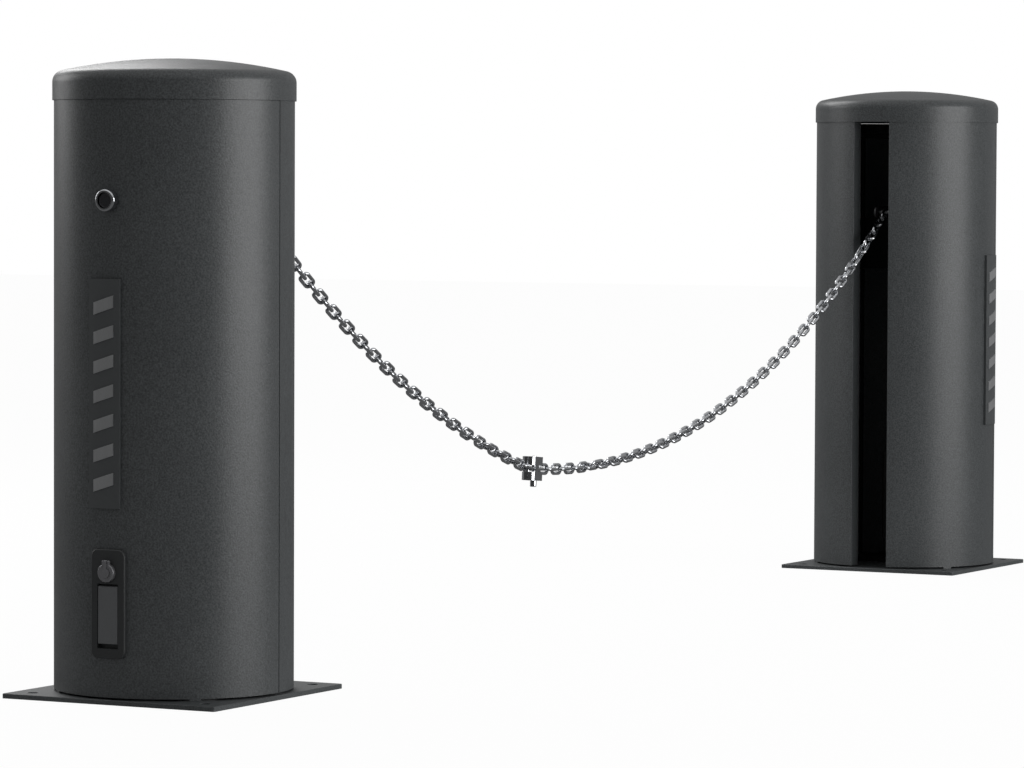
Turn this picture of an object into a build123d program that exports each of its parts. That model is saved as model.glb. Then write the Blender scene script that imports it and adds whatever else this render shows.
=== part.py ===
from build123d import *
import math
import os

# Automatic chain barrier: a drive post and a counterweight post, each with a carriage that
# runs up and down behind a tall slot, and a short-link chain that hangs between them.
# Millimetres, +Z up, +X from the drive post to the far post, origin on the ground under the
# drive post's axis.

os.makedirs("parts", exist_ok=True)

# General values
overrun = 5.0
running_gap = 0.05
seat_gap = 0.3

# Posts
post_spacing = 2310.0
shell_radius = 150.0
shell_wall = 2.0
shell_height = 741.5
plate_length = 312.0
plate_width = 308.0
plate_thickness = 6.0
plate_corner_radius = 3.0
plate_edge_chamfer = 0.6
anchor_pitch_x = 260.0
anchor_pitch_y = 250.0
anchor_hole_radius = 7.0
cable_entry_radius = 28.0
cable_entry_reach = 72.0
cable_entry_across = 62.0
shell_lift = 2.5
drive_seam_angle = 88.0
far_seam_angle = 102.0
seam_gap = 1.6
seam_flange = 14.0
slot_width = 62.0
slot_flange_depth = 26.0
slot_edge_radius = 1.0
foot_width = 14.0
foot_thickness = 1.6
front_foot_angle = 52.0
cover_foot_angle = 138.0

# Cap
cap_gap = 0.3
cap_skirt_wall = 1.7
cap_skirt_drop = 8.0
cap_rim_height = 20.0
cap_dome_height = 32.5
cap_wall = 3.0
cap_crown_rise = 18.0
cap_shoulder = 18.0
cap_shoulder_radius = 15.0
cap_seat_width = 4.5
cap_boss_radius = 12.0
cap_screw_radius = 4.0

# Mast: two channel uprights, a foot plate, a head plate and the pulley cheeks
mast_sheet = 3.0
mast_half_width = 127.0
mast_front = 18.0
mast_back = -66.0
mast_flange = 23.0
mast_tail_back = -120.0
mast_tail_half_width = 80.0
keeper_across = 47.0
keeper_front = -110.0
keeper_reach = -130.0
keeper_lip = 20.0
keeper_lip_thickness = 2.5
keeper_height = 17.0
foot_plate_thickness = 8.0
head_plate_thickness = 8.0
head_plate_drop = 25.5
cheek_inside = 15.0
cheek_thickness = 5.0
cheek_half_length = 15.0
cheek_cap = 14.0

# Guide rails and weight rods
rail_radius = 8.0
rail_across = 90.0
weight_rod_radius = 5.0
weight_rod_reach = -88.0
weight_rod_across = 55.0

# Belt drive
pulley_radius = 20.0
pulley_flange_radius = 24.0
pulley_half_width = 12.5
pulley_flange_thickness = 2.0
pulley_reach = -40.0
pulley_head_room = 26.0
lower_pulley_height = 62.0
pulley_spoke_holes = 5
pulley_hole_radius = 3.0
pulley_hole_circle = 12.5
axle_radius = 5.0
axle_overhang = 4.0
belt_thickness = 2.0
belt_half_width = 8.0

# Carriages
carriage_plate_back = -14.0
carriage_plate_thickness = 6.0
carriage_block_front = 14.0
carriage_block_inside = 76.0
carriage_block_outside = 103.0
carriage_height = 85.0
carriage_drop = 10.0
bush_radius = 11.0
bush_length = 20.0
bush_flange_radius = 12.5
bush_flange_thickness = 1.5
arm_inside = 11.0
arm_thickness = 4.0
arm_nose_radius = 10.0
arm_root_height = 46.0
hook_pin_radius = 3.0
hook_pin_head_radius = 5.0
slot_washer_radius = 9.0
hook_pin_head_thickness = 2.5
slot_travel = 50.0
slot_slack = 3.0
clamp_drop = 35.0
clamp_height = 14.0
clamp_half_width = 17.0
clamp_jaw = 3.0
clamp_bolt_radius = 2.5
clamp_bolt_across = 12.5

# Counterweight
weight_front = -66.0
weight_back = -108.0
weight_half_width = 70.0
weight_height = 150.0
weight_bottom = 38.0
weight_clamp_rise = 70.0
weight_chamfer = 4.0

# Gear motor
gear_inside = 22.0
gear_outside = 74.0
gear_front = -16.0
gear_back = -80.0
gear_height = 98.0
gear_edge_radius = 6.0
gear_foot_thickness = 6.0
gear_foot_overhang = 14.0
shaft_radius = 5.0
motor_radius = 28.0
motor_reach = -48.0
motor_across = 50.0
motor_length = 118.0
motor_flange_radius = 26.0
motor_flange_thickness = 4.0
motor_end_radius = 20.0
motor_end_height = 10.0
motor_fin_count = 16
motor_fin_depth = 1.5
motor_fin_width = 3.0

# Control box and limit switches
box_half_width = 62.0
box_depth = 40.0
box_bottom = 262.0
box_height = 270.0
box_wall = 2.5
box_edge_radius = 4.0
box_lid_depth = 8.0
box_rail_height = 18.0
box_rail_inset = 12.0
board_thickness = 1.6
board_margin = 8.0
board_stand = 8.0
relay_width = 16.0
relay_depth = 14.0
relay_height = 28.0
relay_pitch = 34.0
relay_count = 3
switch_width = 12.0
switch_depth = 14.0
switch_height = 40.0
switch_low = 150.0
switch_high = 640.0

# Lamp
lamp_height = 617.8
lamp_bezel_radius = 13.8
lamp_bezel_length = 12.0
lamp_bezel_edge = 2.5
lamp_lens_radius = 9.6
lamp_lens_thickness = 4.0
lamp_lens_round = 2.2
lamp_lens_sink = 2.0
lamp_body_radius = 11.0
lamp_body_length = 34.0
lamp_nut_radius = 15.0
lamp_nut_thickness = 5.0
lamp_nut_gap = 1.0

# Lock
lock_height = 124.0
lock_plate_width = 48.0
lock_plate_height = 134.0
lock_plate_corner = 9.0
lock_plate_front = 154.0
lock_plate_back = 147.2
lock_plate_edge = 1.4
lock_body_width = 38.0
lock_body_height = 118.0
lock_body_back = 134.0
lock_opening_margin = 1.0
lock_pocket_width = 30.0
lock_pocket_low = -55.0
lock_pocket_high = 24.6
lock_pocket_floor = 146.0
cylinder_rise = 38.4
cylinder_radius = 11.5
cylinder_front = 159.5
cylinder_edge = 1.6
plug_radius = 6.4
plug_front = 157.8
plug_back = 126.0
cam_length = 44.0
cam_width = 14.0
cam_thickness = 3.0
handle_width = 28.0
handle_low = -49.0
handle_high = 22.0
handle_front = 153.4
handle_thickness = 4.6
handle_grip_thickness = 2.4
handle_grip_length = 12.0
handle_pin_radius = 1.2
handle_pin_half_length = 18.0
dust_cap_radius = 6.2
dust_cap_thickness = 1.2
dust_hinge_rise = 13.6
dust_hinge_radius = 1.9
dust_hinge_width = 6.0
dust_arm_width = 4.0
dust_ear_width = 2.0

# Badge strip: a plain dark strip with slanted plain bars
badge_low = 241.0
badge_high = 522.0
badge_half_angle = 8.4
badge_thickness = 4.0
badge_bar_count = 7
badge_bar_thickness = 1.2
badge_bar_height = 15.0
badge_bar_half_angle = 5.4
badge_bar_slant = 9.0
badge_end_margin = 14.0
badge_drive_turn = 177.7
badge_far_turn = 92.0

# Chain
chain_wire = 5.0
chain_inner_length = 21.0
chain_inner_width = 7.0
chain_pitch = 20.6
drive_link_count = 48
far_link_count = 65
straight_count = 7
twist_count = 4
curve_flattest_ratio = 40.0
curve_steepest_ratio = 0.1
drive_hook_reach = 87.4
drive_hook_height = 684.8
far_hook_reach = 83.9
far_hook_height = 592.6
drive_group_counts = (4, 2, 14, 14, 14)
far_group_counts = (14, 15, 15, 15, 2, 4)

# Connector near the middle of the chain
connector_x = 961.0
connector_z = 232.6
connector_tilt = 5.0
connector_pin_spread = 19.0
connector_width = 21.0
connector_height = 34.0
connector_wall = 1.8
connector_tail = 6.5
connector_mouth = 10.0
connector_pin_radius = 3.0
connector_rivet_height = 1.2
lock_pin_radius = 4.6
lock_pin_drop = 9.0
lock_pin_core_radius = 3.0
lock_pin_edge = 1.0

# Worked out from the sizes above
shell_bottom = plate_thickness + shell_lift
shell_top = shell_height + cap_skirt_drop
shell_inside = shell_radius - shell_wall
foot_plate_top = plate_thickness + foot_plate_thickness
head_plate_underside = shell_height - head_plate_drop
head_plate_top = head_plate_underside + head_plate_thickness
upper_pulley_height = head_plate_underside - pulley_head_room
belt_inner_radius = pulley_radius + seat_gap
belt_outer_radius = belt_inner_radius + belt_thickness
front_run = pulley_reach + belt_inner_radius
back_run = pulley_reach - belt_inner_radius
carriage_plate_front = carriage_plate_back + carriage_plate_thickness
box_front = mast_back - mast_sheet
lock_z = lock_height
cylinder_z = lock_height + cylinder_rise
handle_pin_reach = handle_front - handle_thickness / 2
handle_pin_z = lock_height + handle_high - handle_thickness / 2
arc_radius = (chain_inner_width + chain_wire) / 2
half_straight = (chain_inner_length - chain_inner_width) / 2
end_wire_offset = (chain_inner_length + chain_wire - chain_pitch) / 2


class Post:
    """One post: its name, the place of its axis along X, the way its slot faces and where
    its front shell ends, in degrees from the slot."""

    def __init__(self, name, centre_x, facing, seam):
        self.name = name
        self.x = centre_x
        self.facing = facing
        self.seam = seam

    def level(self, height):
        """A level plane: x towards the slot, y across."""
        return Plane(origin=(self.x, 0, height), x_dir=(self.facing, 0, 0), z_dir=(0, 0, 1))

    def side(self, across=0.0):
        """An upright plane along the slot's direction: x towards the slot, y up."""
        return Plane(
            origin=(self.x, self.facing * across, 0),
            x_dir=(self.facing, 0, 0),
            z_dir=(0, -self.facing, 0),
        )

    def back(self, reach):
        """An upright plane behind the axis that looks out of the rear: x across, y up."""
        return Plane(
            origin=(self.x - self.facing * reach, 0, 0),
            x_dir=(0, -self.facing, 0),
            z_dir=(-self.facing, 0, 0),
        )


drive_post = Post("drive", 0, 1, drive_seam_angle)
far_post = Post("far", post_spacing, -1, far_seam_angle)


def finish(piece, name):
    """Label a finished piece and write it."""
    piece.part.label = name
    export_step(piece.part, f"parts/{name}.step")


# Outer casing
def base_plate(post):
    with BuildPart() as plate:
        with BuildSketch(post.level(0)):
            RectangleRounded(plate_length, plate_width, plate_corner_radius)
            with GridLocations(anchor_pitch_x, anchor_pitch_y, 2, 2):
                Circle(anchor_hole_radius, mode=Mode.SUBTRACT)
            with Locations((cable_entry_reach, cable_entry_across)):
                Circle(cable_entry_radius, mode=Mode.SUBTRACT)
        extrude(amount=plate_thickness)
        chamfer(plate.faces().sort_by(Axis.Z)[-1].outer_wire().edges(), plate_edge_chamfer)
    finish(plate, f"{post.name}_base_plate")


def sector(half_angle, mode):
    """A wedge that opens towards the slot, far past the shell."""
    reach = 2 * shell_radius
    rise = reach * math.sin(math.radians(half_angle))
    run = reach * math.cos(math.radians(half_angle))
    Polygon(
        (0, 0),
        (run, rise),
        (reach, rise),
        (reach, -rise),
        (run, -rise),
        align=None,
        mode=mode,
    )


def ring():
    """The shell's section as a whole ring."""
    Circle(shell_radius)
    Circle(shell_inside, mode=Mode.SUBTRACT)


def seam_returns(angle, inward):
    """Flanges that turn inwards along both seams."""
    lean = math.degrees(shell_wall / shell_inside) * inward
    middle = shell_inside - seam_flange / 2 + shell_wall / 4
    for turn in (angle + lean, -angle - lean):
        with PolarLocations(middle, 1, start_angle=turn):
            Rectangle(seam_flange, shell_wall)


def feet(post, angle, low):
    """Small feet under the shell's lower edge."""
    with BuildPart() as tabs:
        with BuildSketch(post.level(low)):
            for turn in (angle, -angle):
                with PolarLocations(shell_radius - shell_wall / 2, 1, start_angle=turn):
                    Rectangle(foot_thickness, foot_width)
        extrude(amount=shell_bottom + foot_thickness - low)
    return tabs.part


def front_shell(post):
    tabs = feet(post, front_foot_angle, plate_thickness)
    with BuildPart() as shell:
        with BuildSketch(post.level(shell_bottom)) as section:
            ring()
            sector(post.seam, Mode.INTERSECT)
            Rectangle(
                2 * shell_radius,
                slot_width,
                align=(Align.MIN, Align.CENTER),
                mode=Mode.SUBTRACT,
            )
            edge_reach = math.sqrt(shell_radius**2 - (slot_width / 2) ** 2)
            for side in (1, -1):
                with Locations((edge_reach - shell_wall, side * (slot_width + shell_wall) / 2)):
                    Rectangle(slot_flange_depth, shell_wall, align=(Align.MAX, Align.CENTER))
            sector(post.seam, Mode.INTERSECT)
            seam_returns(post.seam, -1)
            corners = section.vertices().filter_by(
                lambda corner: abs(abs(corner.Y) - slot_width / 2) < shell_wall / 4
                and abs(corner.X) > edge_reach - shell_wall / 2
            )
            fillet(corners, slot_edge_radius)
        extrude(amount=shell_top - shell_bottom)
        with BuildSketch(post.level(shell_height + seat_gap)):
            ring()
            sector(post.seam, Mode.INTERSECT)
        extrude(amount=shell_top - shell_height - seat_gap)
        add(tabs)
    finish(shell, f"{post.name}_front_shell")


def rear_cover(post, with_lamp):
    turn = post.seam + math.degrees(seam_gap / shell_radius)
    tabs = feet(post, cover_foot_angle, plate_thickness + seat_gap)
    with BuildPart() as cover:
        with BuildSketch(post.level(shell_bottom)):
            ring()
            sector(turn, Mode.SUBTRACT)
            seam_returns(turn, 1)
        extrude(amount=shell_height - seat_gap - shell_bottom)
        add(tabs)
        with BuildSketch(post.back(lock_body_back)):
            with Locations((0, lock_z)):
                Rectangle(
                    lock_body_width + 2 * lock_opening_margin,
                    lock_body_height + 2 * lock_opening_margin,
                )
        extrude(amount=shell_radius - lock_body_back + overrun, mode=Mode.SUBTRACT)
        if with_lamp:
            with BuildSketch(post.back(lamp_body_length)):
                with Locations((0, lamp_height)):
                    Circle(lamp_body_radius + seat_gap)
            extrude(amount=shell_radius, mode=Mode.SUBTRACT)
    finish(cover, f"{post.name}_rear_cover")


def cap(post):
    low = shell_height
    rim = low + cap_rim_height
    crown = rim + cap_dome_height
    cap_radius = shell_radius + cap_gap + cap_skirt_wall
    dome_radius = (cap_radius**2 + cap_crown_rise**2) / (2 * cap_crown_rise)
    with BuildPart() as hollow:
        with BuildSketch(post.level(rim)):
            Circle(cap_radius - cap_shoulder)
        extrude(amount=cap_dome_height)
        with Locations((post.x, 0, crown - dome_radius)):
            Sphere(dome_radius - cap_wall, mode=Mode.INTERSECT)
    with BuildPart() as lid:
        with BuildSketch(post.level(low)):
            Circle(cap_radius)
        extrude(amount=crown - low)
        with Locations((post.x, 0, crown - dome_radius)):
            Sphere(dome_radius, mode=Mode.INTERSECT)
        shoulder = lid.faces().sort_by(Axis.Z)[-1].edges().sort_by(SortBy.LENGTH)[-1]
        fillet(shoulder, cap_shoulder_radius)
        with BuildSketch(post.level(low)):
            Circle(shell_radius - cap_seat_width)
        extrude(amount=cap_rim_height, mode=Mode.SUBTRACT)
        with BuildSketch(post.level(low)):
            Circle(shell_radius + cap_gap)
        extrude(amount=cap_skirt_drop, mode=Mode.SUBTRACT)
        add(hollow.part, mode=Mode.SUBTRACT)
        with BuildSketch(post.level(head_plate_top)):
            Circle(cap_boss_radius)
            Circle(cap_screw_radius, mode=Mode.SUBTRACT)
        extrude(amount=crown - cap_wall - head_plate_top + running_gap)
    finish(lid, f"{post.name}_cap")


# Mast, rails and belt drive
def mast_outline():
    """Foot and head plates: wide at the uprights, narrow at the tail."""
    Polygon(
        (mast_front, mast_half_width),
        (mast_back, mast_half_width),
        (mast_back, mast_tail_half_width),
        (mast_tail_back, mast_tail_half_width),
        (mast_tail_back, -mast_tail_half_width),
        (mast_back, -mast_tail_half_width),
        (mast_back, -mast_half_width),
        (mast_front, -mast_half_width),
        align=None,
    )


def upright_section():
    """Two channels whose open sides face each other."""
    depth = mast_front - mast_back
    for side in (1, -1):
        with Locations(((mast_front + mast_back) / 2, side * (mast_half_width - mast_flange / 2))):
            Rectangle(depth, mast_flange)
        with Locations(
            (
                (mast_front + mast_back) / 2,
                side * (mast_half_width - (mast_flange + mast_sheet) / 2 - overrun / 2),
            )
        ):
            Rectangle(
                depth - 2 * mast_sheet,
                mast_flange - mast_sheet + overrun,
                mode=Mode.SUBTRACT,
            )


def pulley_cheeks(post, low, high, axle_height):
    """A pair of plates that carry a pulley's axle."""
    with BuildPart() as pair:
        for side in (1, -1):
            with BuildSketch(post.side(side * (cheek_inside + cheek_thickness / 2))):
                with Locations((pulley_reach, low)):
                    Rectangle(2 * cheek_half_length, high - low, align=(Align.CENTER, Align.MIN))
                with Locations((pulley_reach, axle_height)):
                    Circle(axle_radius + running_gap, mode=Mode.SUBTRACT)
            extrude(amount=cheek_thickness / 2, both=True)
    return pair.part


def mast(post, with_box):
    low_cheeks = pulley_cheeks(
        post,
        foot_plate_top,
        lower_pulley_height + cheek_cap,
        lower_pulley_height,
    )
    high_cheeks = pulley_cheeks(
        post,
        upper_pulley_height - cheek_cap,
        head_plate_underside,
        upper_pulley_height,
    )
    with BuildPart() as whole:
        with BuildSketch(post.level(plate_thickness)):
            mast_outline()
            with Locations((cable_entry_reach, cable_entry_across)):
                Circle(cable_entry_radius, mode=Mode.SUBTRACT)
        extrude(amount=foot_plate_thickness)
        with BuildSketch(post.level(foot_plate_top)):
            upright_section()
        extrude(amount=head_plate_underside - foot_plate_top)
        with BuildSketch(post.level(head_plate_underside)):
            mast_outline()
            Circle(cap_screw_radius + seat_gap, mode=Mode.SUBTRACT)
            with Locations((0, rail_across), (0, -rail_across)):
                Circle(rail_radius + running_gap, mode=Mode.SUBTRACT)
        extrude(amount=head_plate_thickness)
        with BuildSketch(post.level(foot_plate_top)):
            with Locations((mast_tail_back, keeper_across)):
                Rectangle(keeper_front - mast_tail_back, mast_sheet, align=(Align.MIN, Align.MIN))
        extrude(amount=cylinder_z + keeper_height / 2 - foot_plate_top)
        with BuildSketch(post.level(cylinder_z - keeper_height / 2)):
            with Locations((keeper_reach, keeper_across)):
                Rectangle(keeper_front - keeper_reach, mast_sheet, align=(Align.MIN, Align.MIN))
            with Locations((keeper_reach, keeper_across)):
                Rectangle(keeper_lip_thickness, keeper_lip, align=(Align.MIN, Align.MAX))
        extrude(amount=keeper_height)
        add(low_cheeks)
        add(high_cheeks)
        if with_box:
            with BuildSketch(post.back(-mast_back)):
                for height in (
                    box_bottom + box_rail_inset,
                    box_bottom + box_height - box_rail_inset,
                ):
                    with Locations((0, height)):
                        Rectangle(2 * mast_half_width, box_rail_height)
            extrude(amount=mast_sheet)
    finish(whole, f"{post.name}_mast")


def guide_rods():
    """Two round rails in each post, and two thinner rods for the weight."""
    with BuildPart() as rods:
        for post in (drive_post, far_post):
            with BuildSketch(post.level(foot_plate_top)):
                with Locations((0, rail_across), (0, -rail_across)):
                    Circle(rail_radius)
            extrude(amount=head_plate_top - foot_plate_top)
        with BuildSketch(far_post.level(foot_plate_top)):
            with Locations(
                (weight_rod_reach, weight_rod_across),
                (weight_rod_reach, -weight_rod_across),
            ):
                Circle(weight_rod_radius)
        extrude(amount=head_plate_underside - foot_plate_top)
    finish(rods, "guide_rods")


def pulley(post, height, label, shaft_end):
    """A flanged pulley with a ring of lightening holes. With shaft_end it is keyed to a shaft."""
    with BuildPart() as wheel:
        with BuildSketch(post.side()):
            with Locations((pulley_reach, height)):
                Circle(pulley_radius)
                with PolarLocations(pulley_hole_circle, pulley_spoke_holes):
                    Circle(pulley_hole_radius, mode=Mode.SUBTRACT)
        extrude(amount=pulley_half_width, both=True)
        for side in (1, -1):
            with BuildSketch(post.side(side * (pulley_half_width - pulley_flange_thickness / 2))):
                with Locations((pulley_reach, height)):
                    Circle(pulley_flange_radius)
                    Circle(pulley_radius - overrun / 4, mode=Mode.SUBTRACT)
            extrude(amount=pulley_flange_thickness / 2, both=True)
        if shaft_end:
            with BuildSketch(post.side(shaft_end)):
                with Locations((pulley_reach, height)):
                    Circle(shaft_radius)
            extrude(amount=shaft_end + cheek_inside + cheek_thickness + axle_overhang)
        else:
            with BuildSketch(post.side()):
                with Locations((pulley_reach, height)):
                    Circle(axle_radius + running_gap)
            extrude(amount=pulley_half_width + overrun, both=True, mode=Mode.SUBTRACT)
    finish(wheel, label)


def axles():
    """Fixed axles of the three idle pulleys."""
    with BuildPart() as pins:
        for post, height in (
            (drive_post, upper_pulley_height),
            (far_post, upper_pulley_height),
            (far_post, lower_pulley_height),
        ):
            with BuildSketch(post.side()):
                with Locations((pulley_reach, height)):
                    Circle(axle_radius)
            extrude(amount=cheek_inside + cheek_thickness + axle_overhang, both=True)
    finish(pins, "pulley_axles")


def belts():
    """A closed belt in each post."""
    length = upper_pulley_height - lower_pulley_height
    middle = (upper_pulley_height + lower_pulley_height) / 2
    with BuildPart() as loops:
        for post in (drive_post, far_post):
            with BuildSketch(post.side()):
                with Locations((pulley_reach, middle)):
                    SlotCenterToCenter(length, 2 * belt_outer_radius, rotation=90)
                    SlotCenterToCenter(length, 2 * belt_inner_radius, rotation=90, mode=Mode.SUBTRACT)
            extrude(amount=belt_half_width, both=True)
    finish(loops, "drive_belts")


# Carriages
def arm_outline(hook_reach, hook_height, slotted):
    """One cheek of the arm that reaches out to the chain's end."""
    low = hook_height - carriage_drop - arm_root_height
    Polygon(
        (carriage_plate_front, low),
        (carriage_plate_front, hook_height + arm_nose_radius),
        (hook_reach, hook_height + arm_nose_radius),
        (hook_reach, hook_height - arm_nose_radius),
        (hook_reach - slot_travel, hook_height - arm_nose_radius),
        align=None,
    )
    with Locations((hook_reach, hook_height)):
        Circle(arm_nose_radius)
    if slotted:
        with Locations((hook_reach - slot_travel / 2 + seat_gap, hook_height)):
            SlotCenterToCenter(
                slot_travel,
                2 * (hook_pin_radius + slot_slack),
                mode=Mode.SUBTRACT,
            )
    else:
        with Locations((hook_reach, hook_height)):
            Circle(hook_pin_radius + running_gap, mode=Mode.SUBTRACT)


def carriage(post, hook_reach, hook_height, slotted):
    high = hook_height - carriage_drop
    low = high - carriage_height
    block_width = carriage_block_outside - carriage_block_inside
    block_depth = carriage_block_front - carriage_plate_back
    pad_face = front_run + belt_thickness + seat_gap
    jaw_face = front_run - seat_gap
    clamp_low = hook_height - clamp_drop - clamp_height / 2
    with BuildPart() as body:
        with BuildSketch(post.level(low)):
            with Locations((carriage_plate_back + carriage_plate_thickness / 2, 0)):
                Rectangle(carriage_plate_thickness, 2 * carriage_block_outside)
            for side in (1, -1):
                with Locations(
                    (
                        carriage_plate_back + block_depth / 2,
                        side * (carriage_block_inside + block_width / 2),
                    )
                ):
                    Rectangle(block_depth, block_width)
            with Locations((0, rail_across), (0, -rail_across)):
                Circle(bush_radius, mode=Mode.SUBTRACT)
        extrude(amount=carriage_height)
        for side in (1, -1):
            middle = side * (arm_inside + arm_thickness / 2)
            with BuildSketch(post.side(middle)):
                arm_outline(hook_reach, hook_height, slotted)
            extrude(amount=arm_thickness / 2, both=True)
        with BuildSketch(post.level(clamp_low)):
            with Locations(((carriage_plate_back + pad_face) / 2, 0)):
                Rectangle(carriage_plate_back - pad_face, 2 * clamp_half_width)
            with Locations((jaw_face - clamp_jaw / 2, 0)):
                Rectangle(clamp_jaw, 2 * clamp_half_width)
        extrude(amount=clamp_height)
        with BuildSketch(post.back(-carriage_plate_back)):
            with Locations(
                (clamp_bolt_across, clamp_low + clamp_height / 2),
                (-clamp_bolt_across, clamp_low + clamp_height / 2),
            ):
                Circle(clamp_bolt_radius)
        extrude(amount=carriage_plate_back - jaw_face + clamp_jaw / 2)
    finish(body, f"{post.name}_carriage")
    with BuildPart() as bushes:
        for height in (low, high - bush_length):
            with BuildSketch(post.level(height)):
                with Locations((0, rail_across), (0, -rail_across)):
                    Circle(bush_radius - running_gap)
                    Circle(rail_radius + running_gap, mode=Mode.SUBTRACT)
            extrude(amount=bush_length)
        for height in (low - bush_flange_thickness, high):
            with BuildSketch(post.level(height)):
                with Locations((0, rail_across), (0, -rail_across)):
                    Circle(bush_flange_radius)
                    Circle(rail_radius + running_gap, mode=Mode.SUBTRACT)
            extrude(amount=bush_flange_thickness)
    finish(bushes, f"{post.name}_carriage_bushes")


def hook_pin(post, hook_reach, hook_height, head_radius):
    """The cross pin in the chain's end link, with a head at each end."""
    half = arm_inside + arm_thickness + seat_gap
    with BuildPart() as pin:
        with BuildSketch(post.side()):
            with Locations((hook_reach, hook_height)):
                Circle(hook_pin_radius)
        extrude(amount=half, both=True)
        for side in (1, -1):
            with BuildSketch(post.side(side * (half + hook_pin_head_thickness / 2))):
                with Locations((hook_reach, hook_height)):
                    Circle(head_radius)
            extrude(amount=hook_pin_head_thickness / 2, both=True)
    finish(pin, f"{post.name}_hook_pin")


def counterweight():
    post = far_post
    clamp_low = weight_bottom + weight_clamp_rise
    pad_face = back_run - belt_thickness - seat_gap
    jaw_face = back_run + seat_gap
    with BuildPart() as weight:
        with BuildSketch(post.level(weight_bottom)):
            with Locations(((weight_front + weight_back) / 2, 0)):
                Rectangle(weight_front - weight_back, 2 * weight_half_width)
        extrude(amount=weight_height)
        chamfer(weight.edges().filter_by(Axis.Z), weight_chamfer)
        with BuildSketch(post.level(weight_bottom - overrun)):
            with Locations(
                (weight_rod_reach, weight_rod_across),
                (weight_rod_reach, -weight_rod_across),
            ):
                Circle(weight_rod_radius + 2 * running_gap)
        extrude(amount=weight_height + 2 * overrun, mode=Mode.SUBTRACT)
        with BuildSketch(post.level(clamp_low)):
            with Locations(((weight_front + pad_face) / 2, 0)):
                Rectangle(pad_face - weight_front, 2 * clamp_half_width)
            with Locations((jaw_face + clamp_jaw / 2, 0)):
                Rectangle(clamp_jaw, 2 * clamp_half_width)
        extrude(amount=clamp_height)
        with BuildSketch(post.back(-weight_front)):
            with Locations(
                (clamp_bolt_across, clamp_low + clamp_height / 2),
                (-clamp_bolt_across, clamp_low + clamp_height / 2),
            ):
                Circle(clamp_bolt_radius)
        extrude(amount=weight_front - jaw_face - clamp_jaw / 2)
    finish(weight, "counterweight")


# Drive
def gear_motor():
    post = drive_post
    with BuildPart() as unit:
        with BuildSketch(post.level(foot_plate_top)):
            with Locations(((gear_front + gear_back) / 2, (gear_inside + gear_outside) / 2)):
                Rectangle(gear_front - gear_back, gear_outside - gear_inside)
        extrude(amount=gear_height)
        fillet(unit.edges().filter_by(Axis.Z), gear_edge_radius)
        with BuildSketch(post.level(foot_plate_top)):
            with Locations(
                (gear_back - gear_foot_overhang / 2, (gear_inside + gear_outside) / 2),
            ):
                Rectangle(
                    gear_foot_overhang + 2 * gear_edge_radius,
                    gear_outside - gear_inside,
                )
        extrude(amount=gear_foot_thickness)
        with BuildSketch(post.side(gear_inside - overrun)):
            with Locations((pulley_reach, lower_pulley_height)):
                Circle(shaft_radius + running_gap)
        extrude(amount=-(gear_outside - gear_inside) / 2 - overrun, mode=Mode.SUBTRACT)
        top = foot_plate_top + gear_height
        with BuildSketch(post.level(top)):
            with Locations((motor_reach, motor_across)):
                Circle(motor_flange_radius)
        extrude(amount=motor_flange_thickness)
        with BuildSketch(post.level(top + motor_flange_thickness)):
            with Locations((motor_reach, motor_across)):
                Circle(motor_radius)
                with PolarLocations(motor_radius, motor_fin_count):
                    Rectangle(2 * motor_fin_depth, motor_fin_width, mode=Mode.SUBTRACT)
        extrude(amount=motor_length)
        with BuildSketch(post.level(top + motor_flange_thickness + motor_length)):
            with Locations((motor_reach, motor_across)):
                Circle(motor_end_radius)
        extrude(amount=motor_end_height)
    finish(unit, "gear_motor")


def control_box():
    post = drive_post
    middle = box_bottom + box_height / 2
    lid_start = -box_front + box_depth - box_lid_depth
    with BuildPart() as box:
        with BuildSketch(post.back(-box_front)):
            with Locations((0, middle)):
                RectangleRounded(2 * box_half_width, box_height, box_edge_radius)
        extrude(amount=box_depth - box_lid_depth)
        with BuildSketch(post.back(-box_front + box_wall)):
            with Locations((0, middle)):
                Rectangle(2 * (box_half_width - box_wall), box_height - 2 * box_wall)
        extrude(amount=box_depth, mode=Mode.SUBTRACT)
    finish(box, "control_box")
    with BuildPart() as lid:
        with BuildSketch(post.back(lid_start)):
            with Locations((0, middle)):
                RectangleRounded(2 * box_half_width, box_height, box_edge_radius)
        extrude(amount=box_lid_depth)
        with BuildSketch(post.back(lid_start)):
            with Locations((0, middle)):
                Rectangle(2 * (box_half_width - box_wall), box_height - 2 * box_wall)
        extrude(amount=box_lid_depth - box_wall, mode=Mode.SUBTRACT)
    finish(lid, "control_box_lid")
    with BuildPart() as board:
        stand = -box_front + box_wall
        with BuildSketch(post.back(stand + board_stand)):
            with Locations((0, middle)):
                Rectangle(
                    2 * (box_half_width - box_wall - board_margin),
                    box_height - 2 * (box_wall + board_margin),
                )
        extrude(amount=board_thickness)
        with BuildSketch(post.back(stand)):
            with Locations((0, middle)):
                with GridLocations(
                    2 * (box_half_width - box_wall - 2 * board_margin),
                    box_height - 2 * (box_wall + 2 * board_margin),
                    2,
                    2,
                ):
                    Circle(board_stand / 2)
        extrude(amount=board_stand)
        with BuildSketch(post.back(stand + board_stand + board_thickness)):
            with Locations((0, middle)):
                with GridLocations(0, relay_pitch, 1, relay_count):
                    Rectangle(relay_width, relay_height)
        extrude(amount=relay_depth)
    finish(board, "control_board")


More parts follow.
